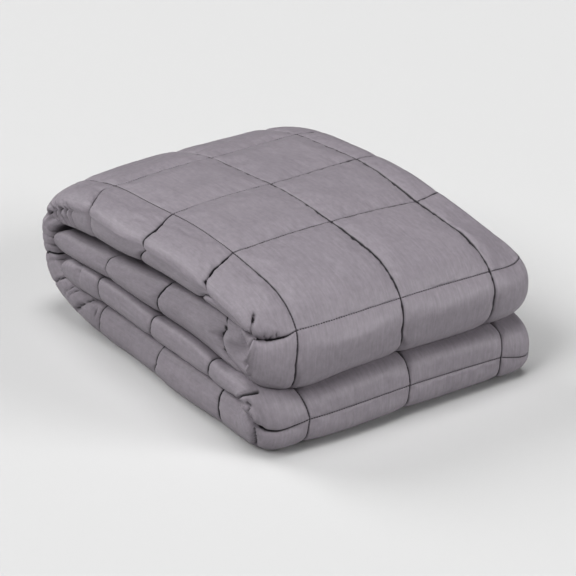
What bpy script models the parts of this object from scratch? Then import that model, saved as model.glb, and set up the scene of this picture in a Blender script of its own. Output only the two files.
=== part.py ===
"""Folded quilted weighted blanket.

One filled sheet, sewn into squares, is folded in four across its width and then
back and forth into four layers: layer 1 on top, layer 4 underneath.  Its rolled
front folds face -Y and the side that shows the layers faces -X.  Metres, +Z up,
resting on z = 0, with the origin under the middle of the stack.
"""
import math

import bmesh
import bpy
import numpy as np

for ob in list(bpy.data.objects):
    bpy.data.objects.remove(ob, do_unlink=True)

# ---------------------------------------------------------------- driving sizes
SQUARE = 0.122       # edge of one quilt square in metres; every length below is in squares

PUFF = 0.032         # how high the filled squares stand beside a sewn line
PUFF_WIDTH = 0.070   # distance over which they rise
SEAM_WIDTH = 0.085   # how far from a sewn line the first mesh row beside it runs
CROWN = 0.010        # extra rise of a square's middle
SEWN_ACROSS = (-1.0, 0.0, 1.0)   # lengthwise sewn lines, across the folded width

PLY_GAP = 0.011      # opening between the two folded halves of a layer, on the right
PLY_REACH = 0.90     # how far in from the right side that opening runs
TIP_RETURN = 0.12    # rounding from the right-hand tip of a half layer into the opening
END_ROUND = 0.20     # rounding length of the two free ends
END_THICK = 0.22     # share of the thickness left at the very end
EDGE_POWER = 2.3     # squareness of the side folds; 2 is an ellipse

ROLL_BACK = 0.055    # how far the rolls draw back at their left ends
SAG = 0.060          # how far the front of the upper roll hangs, a little in from its left end
SAG_AT = dict(x=-0.90, z=0.55)
SAG_SIZE = dict(x=0.30, z=0.20)

# The back-and-forth path, a row per fold or layer: where its outer face (oy, oz) and
# inner face (iy, iz) end, how the run gets there, and the squareness of its turn.
PATH = [
    dict(part="free end of layer 2", how="start", oy=1.45, oz=0.634, iy=1.45, iz=1.025),
    dict(part="layer 2", how="line", oy=-1.62, oz=0.560, iy=-1.50, iz=1.045),
    dict(part="upper roll, under", how="into", oy=-1.933, oz=0.854, op=3.6, iy=-1.508, iz=1.053, ip=2.0),
    dict(part="upper roll, over", how="out of", oy=0.00, oz=1.474, op=2.3, iy=0.10, iz=1.061, ip=2.4),
    dict(part="back turn, over", how="into", oy=1.75, oz=0.800, op=3.6, iy=1.50, iz=0.720, ip=3.2),
    dict(part="back turn, under", how="out of", oy=0.45, oz=0.000, op=2.4, iy=0.45, iz=0.370, ip=2.6),
    dict(part="layer 4", how="line", oy=-1.60, oz=0.000, iy=-1.58, iz=0.370),
    dict(part="lower roll, under", how="into", oy=-1.975, oz=0.200, op=2.6, iy=-1.587, iz=0.377, ip=2.0),
    dict(part="lower roll, over", how="out of", oy=-1.52, oz=0.548, op=3.2, iy=-1.40, iz=0.384, ip=2.2),
    dict(part="layer 3", how="line", oy=1.36, oz=0.620, iy=1.36, iz=0.390),
]

# Extra mesh rows on the turns, as shares of each run's length.
TURN_ROWS = {
    "upper roll, under": (0.2, 0.4, 0.6, 0.8),
    "upper roll, over": (0.06,),
    "back turn, over": (0.65, 0.78, 0.9),
    "back turn, under": (0.05, 0.2, 0.35, 0.5),
    "lower roll, under": (0.2, 0.4, 0.6, 0.8),
    "lower roll, over": (0.2, 0.4, 0.6, 0.8),
}
ROW_SPACE = 0.075    # closest that one of those rows comes to another

# Sewn lines across the blanket: distance along the outer face, and how many rows of
# squares lie between a line and the one above it in the table.
SEWN_ALONG = [
    dict(line="free end of layer 2", at=0.00, squares=0),
    dict(line="front of the upper roll", at=3.79, squares=4),
    dict(line="first across the top", at=4.80, squares=1),
    dict(line="second across the top", at=5.70, squares=1),
    dict(line="back of the top", at=6.55, squares=1),
    dict(line="back turn", at=8.21, squares=2),
    dict(line="back of the underside", at=9.44, squares=1),
    dict(line="front of the lower roll", at=12.28, squares=3),
    dict(line="free end of layer 3", at=15.74, squares=4),
]

# The long sides, a row per place along the path: where the left and right folds lie,
# and how far their rounding reaches over the outer and the inner face.
SIDES = [
    dict(place="free end of layer 2", at=0.0, left=-1.36, right=1.33, outer=0.08, inner=0.07, round=0.26,
         bow=2.4, tuck=2.4),
    dict(place="layer 2, front", at=2.9, left=-1.36, right=1.36, outer=0.06, inner=0.06, round=0.26,
         bow=2.4, tuck=2.4),
    dict(place="upper roll", at=3.7, left=-1.35, right=1.39, outer=0.32, inner=0.06, round=0.40,
         bow=2.5, tuck=2.4),
    dict(place="top, front", at=4.6, left=-1.38, right=1.31, outer=0.44, inner=0.06, round=0.56,
         bow=2.3, tuck=2.4),
    dict(place="top, back", at=6.7, left=-1.39, right=1.31, outer=0.44, inner=0.06, round=0.56,
         bow=2.3, tuck=2.4),
    dict(place="back turn", at=8.1, left=-1.37, right=1.32, outer=0.34, inner=0.16, round=0.40,
         bow=2.4, tuck=2.6),
    dict(place="layer 4, back", at=9.7, left=-1.38, right=1.36, outer=0.18, inner=0.06, round=0.30,
         bow=2.8, tuck=2.4),
    dict(place="layer 4, front", at=11.7, left=-1.39, right=1.43, outer=0.18, inner=0.06, round=0.30,
         bow=2.8, tuck=2.4),
    dict(place="lower roll", at=12.4, left=-1.38, right=1.44, outer=0.22, inner=0.06, round=0.32,
         bow=2.6, tuck=2.4),
    dict(place="layer 3, front", at=13.4, left=-1.38, right=1.41, outer=0.06, inner=0.06, round=0.26,
         bow=2.4, tuck=2.4),
    dict(place="free end of layer 3", at=15.8, left=-1.38, right=1.36, outer=0.08, inner=0.07, round=0.26,
         bow=2.4, tuck=2.4),
]

# Where the cloth is drawn in at the left ends of the two rolls.
PINCHES = [
    dict(name="upper roll", at=3.79, along=0.07, reach=0.50, depth=0.14),
    dict(name="lower roll", at=12.28, along=0.07, reach=0.40, depth=0.08),
    dict(name="front of layer 2", at=2.84, along=0.09, reach=0.26, depth=0.07),
    dict(name="third seam of the top", at=4.80, along=0.045, reach=0.60, depth=0.05),
    dict(name="second seam of the top", at=5.70, along=0.040, reach=0.55, depth=0.03),
    dict(name="first seam of the top", at=6.55, along=0.040, reach=0.50, depth=0.03),
]

# How the sewn grid runs: how far each crosswise line lags along the path at LAG_PLACES
# across the cloth, and how far the lengthwise lines stand aside.
DRIFT = [
    dict(at=0.00, lag=(0, 0, 0, 0, 0, 0, 0, 0, 0), aside=(0, 0, 0)),
    dict(at=3.00, lag=(0, 0, 0, 0, 0, 0, 0, 0, 0), aside=(0, 0, -.06)),
    dict(at=3.42, lag=(0, 0, 0, 0, 0, 0, 0, 0, 0), aside=(-.03, -.02, -.10)),
    dict(at=3.55, lag=(-.02, -.03, -.03, -.03, -.02, 0, .01, .03, .04), aside=(0, .03, -.065)),
    dict(at=3.79, lag=(-.02, -.03, -.035, -.04, -.02, 0, .013, .046, .043), aside=(.007, -.014, -.067)),
    dict(at=4.80, lag=(-.50, -.45, -.29, -.144, -.043, .01, .018, .07, .10), aside=(.024, .005, -.05)),
    dict(at=5.70, lag=(-.36, -.30, -.20, -.13, 0, .05, -.01, .08, .12), aside=(.021, -.022, -.031)),
    dict(at=6.55, lag=(-.10, -.05, -.04, .02, .08, .08, 0, .07, .10), aside=(-.04, -.09, -.11)),
    dict(at=7.00, lag=(-.05, -.02, 0, 0, .02, .04, 0, .04, .05), aside=(-.05, -.117, -.17)),
    dict(at=8.10, lag=(0, 0, 0, 0, 0, 0, 0, 0, 0), aside=(0, 0, 0)),
    dict(at=11.5, lag=(0, 0, 0, 0, 0, 0, 0, 0, 0), aside=(0, 0, 0)),
    dict(at=12.10, lag=(0, 0, 0, 0, 0, 0, -.01, -.03, -.10), aside=(.04, .026, .03)),
    dict(at=12.28, lag=(0, 0, 0, -.01, 0, 0, -.02, -.036, -.10), aside=(.08, .065, .058)),
    dict(at=12.50, lag=(0, 0, 0, 0, 0, 0, -.01, -.03, -.05), aside=(.06, .06, .09)),
    dict(at=13.20, lag=(0, 0, 0, 0, 0, 0, 0, 0, 0), aside=(0, 0, 0)),
    dict(at=15.80, lag=(0, 0, 0, 0, 0, 0, 0, 0, 0), aside=(0, 0, 0)),
]
LAG_PLACES = (-1.65, -1.5, -1.4, -1.25, -1.08, -1.0, 0.0, 1.0, 1.35)

# The same lag close to the left folds, at distances round the fold from its outermost
# line: minus on the inner face, plus on the outer.
LEFT_PLACES = (-0.6, -0.35, -0.20, -0.12, 0.0, 0.12, 0.16, 0.22, 0.35, 0.6)
LEFT_LAG = [
    dict(at=0.95, lag=(0, 0, 0, 0, 0, 0, 0, 0, 0, 0)),
    dict(at=1.895, lag=(0, .10, .10, .03, -.036, -.11, -.14, -.15, -.10, 0)),
    dict(at=2.843, lag=(0, .05, .05, 0, -.036, -.022, .138, .33, .20, 0)),
    dict(at=3.35, lag=(0, 0, 0, 0, 0, 0, 0, 0, 0, 0)),
    dict(at=4.30, lag=(0, 0, 0, 0, 0, 0, 0, 0, 0, 0)),
    dict(at=4.80, lag=(0, -.20, -.20, -.18, .02, .067, .05, .03, .01, 0)),
    dict(at=5.70, lag=(0, 0, .03, .03, .10, .04, .03, .02, 0, 0)),
    dict(at=6.55, lag=(0, .15, .18, .15, .12, .04, .05, .06, .05, 0)),
    dict(at=7.38, lag=(0, 0, 0, 0, 0, 0, 0, 0, 0, 0)),
    dict(at=10.4, lag=(0, 0, 0, 0, 0, 0, 0, 0, 0, 0)),
    dict(at=11.34, lag=(0, .09, .09, .09, .09, .09, .09, .09, .05, 0)),
    dict(at=12.0, lag=(0, 0, 0, 0, 0, 0, 0, 0, 0, 0)),
    dict(at=13.15, lag=(0, 0, 0, 0, 0, 0, 0, 0, 0, 0)),
    dict(at=14.02, lag=(0, .06, .06, .06, .05, .05, .05, .05, .03, 0)),
    dict(at=14.89, lag=(0, .10, .10, .10, .10, .12, .12, .12, .06, 0)),
    dict(at=15.76, lag=(0, 0, 0, 0, 0, 0, 0, 0, 0, 0)),
]

# How far the layers' meeting lines stand up at the left folds, at the three heights
# between the layers.
MEETING = (0.39, 0.60, 1.06, 1.31)
CREASE_RISE = [
    dict(y=-1.9, low=0.04, mid=0.075, high=0.00),
    dict(y=-1.2, low=0.03, mid=0.065, high=0.02),
    dict(y=0.0, low=0.01, mid=0.055, high=0.02),
    dict(y=1.4, low=0.00, mid=0.02, high=0.02),
]

# How far the top falls from its middle, to the outer lengthwise sewn lines.
TOP_FALL = [
    dict(y=-1.9, left=0.050, right=0.045),
    dict(y=-1.5, left=0.045, right=0.053),
    dict(y=-0.9, left=0.045, right=0.053),
    dict(y=0.0, left=0.083, right=0.012),
    dict(y=0.93, left=0.095, right=-0.026),
    dict(y=1.35, left=0.130, right=-0.015),
    dict(y=1.75, left=0.150, right=0.0),
]

# How much of the outer face's filling stands out, by place along the path.
IN_VIEW = [
    dict(run="layer 2", after=-0.1, share=0.0),
    dict(run="layer 2", after=0.2, share=1.0),
    dict(run="upper roll, over", after=1.0, share=1.0),
    dict(run="back turn, over", after=-0.4, share=0.5),
    dict(run="back turn, over", after=1.0, share=0.5),
    dict(run="back turn, under", after=-0.4, share=0.0),
    dict(run="layer 4", after=0.1, share=0.0),
    dict(run="lower roll, under", after=0.0, share=1.0),
    dict(run="lower roll, over", after=-0.1, share=1.0),
    dict(run="lower roll, over", after=0.15, share=0.0),
]
FOLD_STANDS = 0.13   # how far round a left fold its filling stands out
LOWEST = 0.006       # the underside below this height is flat

# Mesh columns over one face: at and beside each lengthwise sewn line, then as shares
# of what is left to the left fold, to the right tip, and into the opening.
BESIDE_SEAM = (-0.28, -SEAM_WIDTH, 0.0, SEAM_WIDTH, 0.28)
LEFT_SHARES = (0.0, 0.20, 0.40, 0.60, 0.80)
RIGHT_SHARES = (0.25, 0.50, 0.75, 1.0)
OPENING_SHARES = (0.06, 0.13, 0.5, 1.0)
RIGHT_SEWN = (0.8, 0.55, 0.3, 0.1)      # how much of a seam's depth is left at RIGHT_SHARES

COLUMNS = np.array([line + step for line in SEWN_ACROSS for step in BESIDE_SEAM])
FACE_COLUMNS = len(LEFT_SHARES) + len(COLUMNS) + len(RIGHT_SHARES)
HALF_COLUMNS = FACE_COLUMNS + len(OPENING_SHARES)


# ---------------------------------------------------------------- the folded path
def run_points(a, b, face, n=300):
    """Points of one run of the outer ("o") or inner ("i") face, from row a to row b."""
    t = np.linspace(0.0, 1.0, n)
    y0, z0, y1, z1 = a[face + "y"], a[face + "z"], b[face + "y"], b[face + "z"]
    if b["how"] == "line":
        return np.column_stack([y0 + (y1 - y0) * t, z0 + (z1 - z0) * t])
    power = 2.0 / b[face + "p"]
    rise = np.sin(t * math.pi / 2) ** power
    late = 1.0 - np.cos(t * math.pi / 2) ** power
    along, up = (rise, late) if b["how"] == "into" else (late, rise)
    return np.column_stack([y0 + (y1 - y0) * along, z0 + (z1 - z0) * up])


def fold_path():
    """Outer and inner face as matched points, the outer one's length, each run's end."""
    faces = {}
    for face in ("o", "i"):
        runs = [run_points(a, b, face) for a, b in zip(PATH[:-1], PATH[1:])]
        faces[face] = np.concatenate([runs[0]] + [r[1:] for r in runs[1:]])
    steps = np.linalg.norm(np.diff(faces["o"], axis=0), axis=1)
    length = np.concatenate([[0.0], np.cumsum(steps)])
    ends = np.arange(len(PATH)) * (len(length) - 1) // (len(PATH) - 1)
    run_end = {row["part"]: length[k] for row, k in zip(PATH, ends)}
    return faces["o"], faces["i"], length, run_end


OUTER, INNER, LENGTH, RUN_END = fold_path()
TOTAL = LENGTH[-1]


def sewn_lines():
    lines = [SEWN_ALONG[0]["at"]]
    for a, b in zip(SEWN_ALONG[:-1], SEWN_ALONG[1:]):
        for k in range(b["squares"]):
            lines.append(a["at"] + (b["at"] - a["at"]) * (k + 1) / b["squares"])
    return np.array(lines)


LINES = sewn_lines()


def mesh_rows():
    """Distances along the path that the mesh has a row at."""
    kept = [END_ROUND * share for share in (0.0, 0.15, 0.5, 1.0)]
    kept += [TOTAL - k for k in kept]
    for line in LINES[1:-1]:
        kept += [line - SEAM_WIDTH, line, line + SEAM_WIDTH]
    wanted = []
    for a, b in zip(LINES[:-1], LINES[1:]):
        wanted += [a + 0.28 * (b - a), b - 0.28 * (b - a)]
    for before, row in zip(PATH[:-1], PATH[1:]):
        start, end = RUN_END[before["part"]], RUN_END[row["part"]]
        wanted += [start + share * (end - start) for share in TURN_ROWS.get(row["part"], ())]
    for r in wanted:
        if min(abs(r - k) for k in kept) > ROW_SPACE:
            kept.append(r)
    return np.array(sorted(kept))


# ---------------------------------------------------------------- one cross-section
def half_section(left, right, reach, turn, power, half):
    """Half a layer as a dense open curve: x, and height as a share of the layer's half
    thickness.  It runs from the left fold over the face, round the half's own right
    fold and back along the opening.  Also gives the index of the right-hand tip."""
    n = 60
    a = np.linspace(0.0, math.pi / 2, n)
    s, c = np.sin(a) ** (2.0 / power), np.cos(a) ** (2.0 / power)
    tip_s, tip_c = np.sin(a) ** (2.0 / EDGE_POWER), np.cos(a) ** (2.0 / EDGE_POWER)
    opening = 0.5 * PLY_GAP / half
    parts = [
        (left + reach * (1 - c), s),
        (np.linspace(left + reach, right - turn, n), np.ones(n)),
        (right - turn * (1 - tip_s), 0.5 + 0.5 * tip_c),
        (right - TIP_RETURN * (1 - tip_c), 0.5 + (opening - 0.5) * tip_s),
        (np.linspace(right - TIP_RETURN, right - PLY_REACH, n), np.full(n, opening)),
    ]
    return np.concatenate([p[0] for p in parts]), np.concatenate([p[1] for p in parts]), 3 * n - 1


def half_columns(*section):
    """The mesh columns of half a layer: x, height share, distance across the cloth."""
    x, t, tip = half_section(*section)
    half = section[-1]
    across = np.concatenate([[0.0], np.cumsum(np.hypot(np.diff(x), np.diff(t * half)))])
    across -= np.interp(0.0, x[:tip], across[:tip])
    want = np.concatenate([
        across[0] + (COLUMNS[0] - across[0]) * np.array(LEFT_SHARES),
        COLUMNS,
        COLUMNS[-1] + (across[tip] - COLUMNS[-1]) * np.array(RIGHT_SHARES),
        across[tip] + (across[-1] - across[tip]) * np.array(OPENING_SHARES),
    ])
    return np.interp(want, across, x), np.interp(want, across, t), want


# ---------------------------------------------------------------- sewing and shaping
def column(rows, key):
    return np.array([row[key] for row in rows], float)


def beside(distance):
    return np.exp(-np.abs(distance) / PUFF_WIDTH)


def filled_height(s, v, crown):
    """How high a face stands over its sewn lines, at s along the path and v across."""
    ds = np.min(np.abs(s[:, None] - LINES[None, 1:-1]), axis=1)[:, None]
    dv = np.min(np.abs(v[:, :, None] - np.array(SEWN_ACROSS)), axis=2)
    middle = np.clip(2 * ds, 0, 1) * np.clip(2 * dv, 0, 1)
    return PUFF * (1 - beside(ds)) * (1 - beside(dv)) + crown * np.sqrt(middle)


def pinch_depth(s, from_left):
    total = np.zeros_like(from_left)
    for p in PINCHES:
        along = np.exp(-np.abs(s - p["at"]) / p["along"])[:, None]
        total += p["depth"] * along * np.clip(1 - from_left / p["reach"], 0, 1) ** 1.5
    return total


def lag(s, v, from_fold):
    """Distance along the path by which each mesh point stands ahead of its row."""
    across, fold = column(DRIFT, "lag"), column(LEFT_LAG, "lag")
    out = np.zeros_like(v)
    for k, place in enumerate(s):
        wide = [np.interp(place, column(DRIFT, "at"), lags) for lags in across.T]
        left = [np.interp(place, column(LEFT_LAG, "at"), lags) for lags in fold.T]
        out[k] = np.interp(v[k], LAG_PLACES, wide) + np.interp(from_fold[k], LEFT_PLACES, left)
    return out


def stand_aside(p, s, v):
    """The lengthwise sewn lines wander a little to either side."""
    for k, place in enumerate(s):
        aside = [np.interp(place, column(DRIFT, "at"), shifts) for shifts in column(DRIFT, "aside").T]
        p[k, :, 0] += np.interp(v[k], (-1.5, *SEWN_ACROSS, 1.5), (0.0, *aside, 0.0))


def fall_of_top(p, s, x, t):
    """The top is domed, and falls most towards the left and the back."""
    start, end, back = RUN_END["upper roll, under"], RUN_END["upper roll, over"], RUN_END["back turn, over"]
    share = np.interp(s, [start - 0.3, start + 0.8, end, back - 1.2, back], [0.0, 1.0, 1.0, 1.0, 0.1])
    left, right = (np.interp(p[:, :, 1], column(TOP_FALL, "y"), column(TOP_FALL, key)) for key in ("left", "right"))
    fall = np.where(x < 0, left, right) * np.minimum(np.abs(x), 1.15) ** 1.6
    p[:, :, 2] -= share[:, None] * fall * np.clip(t, 0, 1)


def draw_rolls_back(p, s, x, t):
    """The rolls' left ends lie a little further back than their middles."""
    for roll, share in (("upper roll, under", 1.0), ("lower roll, under", 0.5)):
        near = share * np.exp(-((s - RUN_END[roll] - 0.1) / 0.5) ** 2)[:, None]
        p[:, :, 1] += near * ROLL_BACK * np.where(x < 0, np.abs(x) ** 3, 0.0) * np.clip(t, 0, 1)


def settle_left(p):
    """The layers meet higher at the left folds, and the upper roll's front hangs beside them."""
    x, y, z = p[:, :, 0], p[:, :, 1], p[:, :, 2]
    edge = np.clip((-x - 0.98) / 0.36, 0, 1)
    edge = edge * edge * (3 - 2 * edge)
    low, mid, high = (np.interp(y, column(CREASE_RISE, "y"), column(CREASE_RISE, key))
                      for key in ("low", "mid", "high"))
    z_low, z_mid, z_high, z_none = MEETING
    rise = np.where(z < z_low, low * z / z_low, low + (mid - low) * (z - z_low) / (z_mid - z_low))
    rise = np.where(z >= z_mid, mid + (high - mid) * (z - z_mid) / (z_high - z_mid), rise)
    rise = np.where(z >= z_high, high * np.clip((z_none - z) / (z_none - z_high), 0, 1), rise)
    hang = np.exp(-((x - SAG_AT["x"]) / SAG_SIZE["x"]) ** 2 - ((z - SAG_AT["z"]) / SAG_SIZE["z"]) ** 2)
    p[:, :, 2] = z + edge * rise - SAG * np.clip((-1.2 - y) / 0.5, 0, 1) * hang


def uneven(p):
    """A slow wander shared by all layers, so that none lies dead straight and none meet."""
    x, y, z = p[:, :, 0].copy(), p[:, :, 1].copy(), p[:, :, 2].copy()
    p[:, :, 0] += 0.015 * np.sin(1.9 * y + 4.1 * z) + 0.010 * np.sin(4.7 * y - 3.0 * z + 1.0)
    p[:, :, 1] += 0.010 * np.sin(2.3 * x + 2.0 * z)


# ---------------------------------------------------------------- the whole skin
def skin():
    """The blanket's closed skin as a grid of points, path rows by loop columns."""
    s = mesh_rows()
    to_end = np.clip(1 - np.minimum(s, TOTAL - s) / END_ROUND, 0, 1)
    taper = np.maximum(np.sqrt(1 - to_end ** 2), END_THICK)
    spans = [np.interp(s, LENGTH, OUTER[:, k]) - np.interp(s, LENGTH, INNER[:, k]) for k in (0, 1)]
    thick = np.hypot(*spans) / 2 * taper

    side = {key: np.interp(s, column(SIDES, "at"), column(SIDES, key))
            for key in ("left", "right", "outer", "inner", "round", "bow", "tuck")}
    halves = {}
    for face, keys in (("outer", ("outer", "round", "bow")), ("inner", ("inner", "inner", "tuck"))):
        sections = zip(side["left"], side["right"], *(side[key] for key in keys), thick)
        halves[face] = [np.array(part) for part in zip(*(half_columns(*section) for section in sections))]

    # the loop runs over the outer half to the opening's end and back over the inner
    # half; the left fold belongs to both halves and is kept once
    def loop(k, flip=1.0):
        return np.concatenate([halves["outer"][k], flip * halves["inner"][k][:, :0:-1]], axis=1)

    x, t, v = loop(0), loop(1, -1.0), loop(2)
    is_outer = (np.arange(v.shape[1]) < HALF_COLUMNS)[None, :]
    from_left = np.abs(v - v[:, :1])
    place = np.clip(s[:, None] + lag(s, v, np.where(is_outer, from_left, -from_left)), 0, TOTAL)
    oy, oz, iy, iz = (np.interp(place, LENGTH, face[:, k]) for face in (OUTER, INNER) for k in (0, 1))
    reach = t * taper[:, None]
    p = np.stack([x, (oy + iy) / 2 + reach * (oy - iy) / 2, (oz + iz) / 2 + reach * (oz - iz) / 2], axis=2)
    fall_of_top(p, s, x, t)
    draw_rolls_back(p, s, x, t)
    settle_left(p)
    stand_aside(p, s, v)

    inward = np.cross(np.roll(p, -1, axis=1) - np.roll(p, 1, axis=1), np.gradient(p, axis=0))
    inward /= np.linalg.norm(inward, axis=2, keepdims=True)
    if inward[np.argmax(p[:, HALF_COLUMNS // 2, 2]), HALF_COLUMNS // 2, 2] > 0:
        inward = -inward

    # faces in view stand out from the path between their sewn lines; hidden faces and
    # the underside keep to it, and only their sewn lines sink in
    weight_half = np.concatenate([np.ones(FACE_COLUMNS - len(RIGHT_SEWN)), RIGHT_SEWN,
                                  np.zeros(len(OPENING_SHARES))])
    weight = np.concatenate([weight_half, weight_half[:0:-1]])
    seen = np.interp(s, [RUN_END[row["run"]] + row["after"] for row in IN_VIEW], column(IN_VIEW, "share"))[:, None]
    stand = np.maximum(np.where(is_outer, seen, 0.0), np.exp(-(from_left / FOLD_STANDS) ** 2))
    crown = np.where(is_outer, CROWN * seen, 0.0)
    sink = (1 - stand) * (PUFF + crown) - filled_height(s, v, crown) + pinch_depth(s, from_left)
    sink = np.minimum(sink, 0.45 * thick[:, None] + 0.02) * weight
    p += inward * sink[:, :, None]

    # the squares of the underside rest flat
    under = (s > RUN_END["back turn, under"] - 0.3) & (s < RUN_END["lower roll, under"])
    low = under[:, None] & is_outer & (p[:, :, 2] < LOWEST)
    p[:, :, 2] = np.where(low, 0.0, np.maximum(p[:, :, 2], 0.0))
    uneven(p)
    return p


# ---------------------------------------------------------------- mesh and material
def cotton():
    material = bpy.data.materials.new("mauve_grey_cotton")
    material.use_nodes = True
    shader = material.node_tree.nodes["Principled BSDF"]
    shader.inputs["Base Color"].default_value = (0.26, 0.235, 0.265, 1.0)
    shader.inputs["Roughness"].default_value = 0.75
    shader.inputs["Metallic"].default_value = 0.0
    return material


def blanket():
    p = skin() * SQUARE
    low, high = p.min(axis=(0, 1)), p.max(axis=(0, 1))
    p -= np.array([(low[0] + high[0]) / 2, (low[1] + high[1]) / 2, low[2]])
    rows, loop = p.shape[:2]

    def at(row, column):
        return row * loop + column % loop

    quads = [(at(r, c), at(r, c + 1), at(r + 1, c + 1), at(r + 1, c))
             for r in range(rows - 1) for c in range(loop)]
    end_2 = tuple(at(0, c) for c in reversed(range(loop)))
    end_3 = tuple(at(rows - 1, c) for c in range(loop))
    mesh = bpy.data.meshes.new("blanket")
    mesh.from_pydata(p.reshape(-1, 3).tolist(), [], quads + [end_2, end_3])

    bm = bmesh.new()
    bm.from_mesh(mesh)
    bmesh.ops.triangulate(bm, faces=bm.faces[:], quad_method="BEAUTY", ngon_method="EAR_CLIP")
    if bm.calc_volume(signed=True) < 0:
        bmesh.ops.reverse_faces(bm, faces=bm.faces[:])
    bm.to_mesh(mesh)
    bm.free()
    mesh.shade_smooth()
    mesh.materials.append(cotton())
    ob = bpy.data.objects.new("blanket", mesh)
    bpy.context.scene.collection.objects.link(ob)
    return ob


blanket()
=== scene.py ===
"""Looks of the folded weighted blanket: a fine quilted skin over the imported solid,
its sewn threads, a satin-weave cotton, and a plain pale studio."""

import math

import bpy
import numpy as np
from mathutils import Matrix, Vector


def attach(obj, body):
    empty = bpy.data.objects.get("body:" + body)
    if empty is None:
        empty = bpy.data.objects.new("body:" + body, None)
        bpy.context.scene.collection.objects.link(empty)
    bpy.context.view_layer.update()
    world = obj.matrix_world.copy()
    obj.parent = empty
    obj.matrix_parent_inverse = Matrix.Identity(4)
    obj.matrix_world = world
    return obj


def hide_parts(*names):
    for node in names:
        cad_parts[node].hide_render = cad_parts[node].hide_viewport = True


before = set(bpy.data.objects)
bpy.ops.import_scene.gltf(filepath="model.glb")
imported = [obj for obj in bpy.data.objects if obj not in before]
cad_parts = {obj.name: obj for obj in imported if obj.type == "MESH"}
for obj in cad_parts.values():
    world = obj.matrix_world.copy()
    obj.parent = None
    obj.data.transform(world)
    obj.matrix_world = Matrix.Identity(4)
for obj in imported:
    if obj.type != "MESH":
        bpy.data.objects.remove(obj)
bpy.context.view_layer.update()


def table(columns, *rows):
    """One dict a row, by the names of the columns."""
    return [dict(zip(columns.split(), row)) for row in rows]


def column(rows, key):
    return [row[key] for row in rows]


# -------- driving sizes
SQUARE = .122  # edge of one quilt square in metres; lengths below are in squares
MIDDLE = (-.0072, -.1139)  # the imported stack's middle in the fold's own x and y
SEWN_ACROSS = (-1, 0, 1)  # where the lengthwise sewn lines run, across the cloth

# the filled cloth
PUFF = .018  # how high the filling stands beside a sewn line on the wide faces
FOLD_PUFF = .012  # and round the left folds
PUFF_WIDTH = .095
PUFF_REACH = .45  # how far round a left fold that height lasts
VALLEY = .008  # a narrower valley within that
VALLEY_WIDTH = .028
GROOVE = .011  # how deep the thread pulls the cloth in on the wide faces
FOLD_GROOVE = .007  # and round the left folds
GROOVE_WIDTH = .009
GROOVE_REACH = .25  # how far round a left fold that depth lasts
CROWN = .008  # further rise to the middle of a square
DIMPLE = .006  # unevenness of the filling there
DIMPLE_SIZE = .42
RIPPLE = .006  # height of the ripples beside a fully gathered seam
RIPPLE_LENGTH = .075  # size of a ripple along the seam
RIPPLE_DEPTH = .35  # and away from it
RIPPLE_REACH = .11  # how far from the seam they end
RIPPLE_CLEAR = .015  # and how near it they begin
RIPPLE_SHIFTS_ACROSS = (7.3, 3.1)  # a line's own place in the noise: along it and away from it
RIPPLE_SHIFTS_ALONG = (5.7, 9.7)
SWELL_REACH = 1.25  # how far across the cloth the strips of SWELLS stand out
SINK_SHARE = .45  # the most that a face may sink, as a share of half the thickness
SINK_LEAST = .02  # and how much it may sink beyond that

# the sewn lines
WAVER = .0035  # how far a gathered seam strays from its line
KNOT_WAVER = .018  # how much farther it strays at the tightest gathers
KNOT_SHOW = 1.3  # how strongly a line has to show to have them
KNOT_AT = -1.32  # and where they are across the cloth
KNOT_REACH = .20
WAVER_ACROSS = .045  # size of a bend in a crosswise seam
WAVER_ALONG = .028  # and in a lengthwise one
SEAM_SHADE_WIDTH = .0085  # width of a sewn line's dark bottom: the thread's own darker colour and painted shade in its groove
CREASE_SHADE_WIDTH = .5  # width of the painted shade at a crease's bottom, over the crease's own width
# narrowest painted shade at a crease's bottom
THINNEST_SHADE = .011

# the cloth simulation
EXCESS = .014  # share by which the cloth between the sewn lines is too large
GATHER_WIDTH = .13  # how far from a sewn line it comes to that
HELD = .010  # reach of a seam's hold
LOOSEST_HOLD = .02
LOOSE_FALL = .12  # distance round the left folds over which the looseness falls from 1 to 0
LOOSE_END = 1.3  # and how many such distances round the fold it ends
STIFF_BEYOND = 1.5  # farther right than this the cloth is held
FARTHEST = .0011  # metres that the cloth may move from the filling's shape
CLOTH_FRAMES = 12

# the stitches
STITCH_EVERY = .0029  # metres, as are the other stitch sizes
STITCH_LENGTH = .0017
STITCH_RADIUS = .00065
STITCH_SHOULDER = .28  # place of a stitch's two thick rings from its middle, as a share of its length
STITCH_SIDES = 5
THREAD_RISE = .0002
# threads in view: each crosswise one's place along the path and its ends across the cloth, and
# the ends along the path of the lengthwise ones
THREADS_ACROSS = table("at first last",
    (3.79, -1.15, 1.5),
    (4.80, -1.5, 1.5),
    (5.70, -1.5, 1.5),
    (6.55, -1.5, 1.5),
    (7.38, -1.4, 1.4),
    (12.28, -1.25, 1.5),
)
THREADS_ALONG = table("first last",
    (3.05, 8.2),
    (11.95, 12.9),
)

# the cross-section
PLY_GAP = .011  # between the two pairs of plies at the right side
PLY_REACH = .90  # how deep that opening is
TIP_RETURN = .12  # how far the plies' edges turn back into it
EDGE_POWER = 2.3  # of the curves round the plies' edges
SECTION_POINTS = 60  # in each of the five stretches of a face
END_ROUND = .20  # length over which the free ends grow thin
END_THICK = .22  # share of the thickness left at their tips
ROLL_BACK = .055  # how far the rolls' left ends draw back
ROLL_BEYOND = .1  # how far past the end of a roll's under side they do so most
ROLL_REACH = .5  # and how far along the path they do
ROLL_SHARES = {"upper roll, under": 1, "lower roll, under": .5}
SAG = .045  # how far the upper roll sags beside the left folds
SAG_X = -.90
SAG_WIDTH = .30
SAG_Y = -1.2  # from here forwards
SAG_LENGTH = .5  # and fully this much farther on
SAG_Z = .55
SAG_HEIGHT = .2
FALL_REACH = 1.15  # the top falls up to this far from its middle line
FALL_POWER = 1.6
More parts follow.
